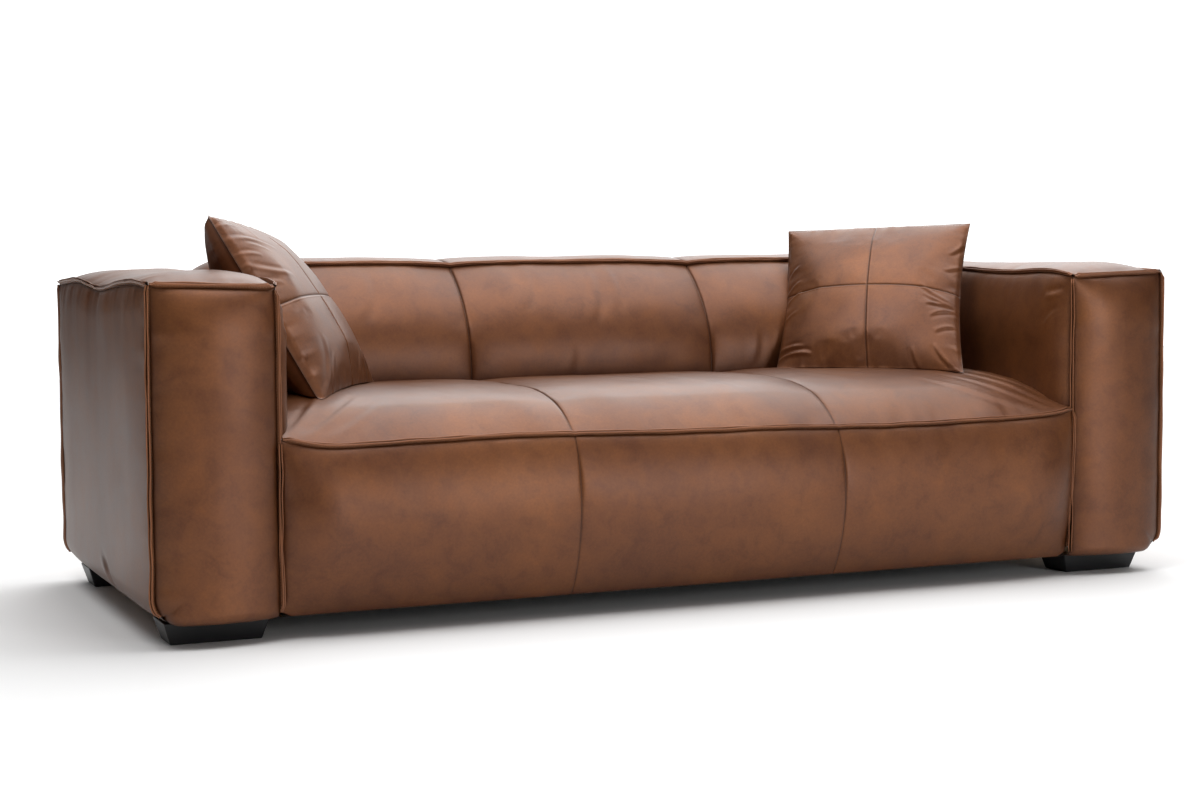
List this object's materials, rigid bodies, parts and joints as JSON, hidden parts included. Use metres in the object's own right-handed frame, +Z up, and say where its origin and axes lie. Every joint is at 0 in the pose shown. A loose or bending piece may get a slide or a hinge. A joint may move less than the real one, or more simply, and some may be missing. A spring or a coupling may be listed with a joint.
{
  "type": "three-seat sofa",
  "caption": "Wide leather sofa with box arms, tight seat and back, raised edge seams, block wood feet and loose square cushions.",
  "frame": {"origin": "on the floor, under the middle of the object's bounding box", "axes": "+X to the right of someone who faces the sofa's front, -Y out of its front, +Z up"},
  "size_m": [2.3278, 1.0008, 0.8256],
  "materials": {
    "leather": "satin",
    "foot_wood": "satin",
    "frame_wood": "matte",
    "hardboard": "matte",
    "foam": "matte",
    "wadding": "matte",
    "lining": "matte",
    "steel": "satin"
  },
  "bodies": {
    "sofa": {"arm_cover_left": "leather", "arm_wadding_left": "wadding", "arm_left_base_board": "frame_wood", "arm_left_top_board": "frame_wood", "arm_left_front_board": "frame_wood", "arm_left_rear_board": "frame_wood", "arm_left_inner_panel": "hardboard", "arm_left_outer_panel": "hardboard", "foot_front_left": "foot_wood", "foot_bolt_front_left": "steel", "foot_rear_left": "foot_wood", "foot_bolt_rear_left": "steel", "arm_cover_right": "leather", "arm_wadding_right": "wadding", "arm_right_base_board": "frame_wood", "arm_right_top_board": "frame_wood", "arm_right_front_board": "frame_wood", "arm_right_rear_board": "frame_wood", "arm_right_inner_panel": "hardboard", "arm_right_outer_panel": "hardboard", "foot_front_right": "foot_wood", "foot_bolt_front_right": "steel", "foot_rear_right": "foot_wood", "foot_bolt_rear_right": "steel", "seat_cover": "leather", "seat_wadding": "wadding", "seat_foam": "foam", "back_cover": "leather", "back_foam": "foam", "back_rear_cover": "leather", "seat_front_rail": "frame_wood", "seat_rear_rail": "frame_wood", "back_top_rail": "frame_wood", "back_bottom_rail": "frame_wood", "seat_side_rail_left": "frame_wood", "seat_stretcher_left": "frame_wood", "back_post_inner_left": "frame_wood", "back_post_outer_left": "frame_wood", "seat_side_rail_right": "frame_wood", "seat_stretcher_right": "frame_wood", "back_post_inner_right": "frame_wood", "back_post_outer_right": "frame_wood", "seat_spring_1": "steel", "seat_spring_2": "steel", "seat_spring_3": "steel", "seat_spring_4": "steel", "seat_spring_5": "steel", "seat_spring_6": "steel", "seat_spring_7": "steel", "seat_spring_8": "steel", "seat_spring_9": "steel", "dust_cover": "lining"},
    "cushion_left": {"cushion_cover_left": "leather", "cushion_fill_left": "wadding"},
    "cushion_right": {"cushion_cover_right": "leather", "cushion_fill_right": "wadding"}
  },
  "joints": [
    {"name": "lift_cushion_left", "type": "slide", "parent": "sofa", "child": "cushion_left", "axis": [0, 0, 1], "range_m": [0, 0.4]},
    {"name": "lift_cushion_right", "type": "slide", "parent": "sofa", "child": "cushion_right", "axis": [0, 0, 1], "range_m": [0, 0.4]}
  ]
}
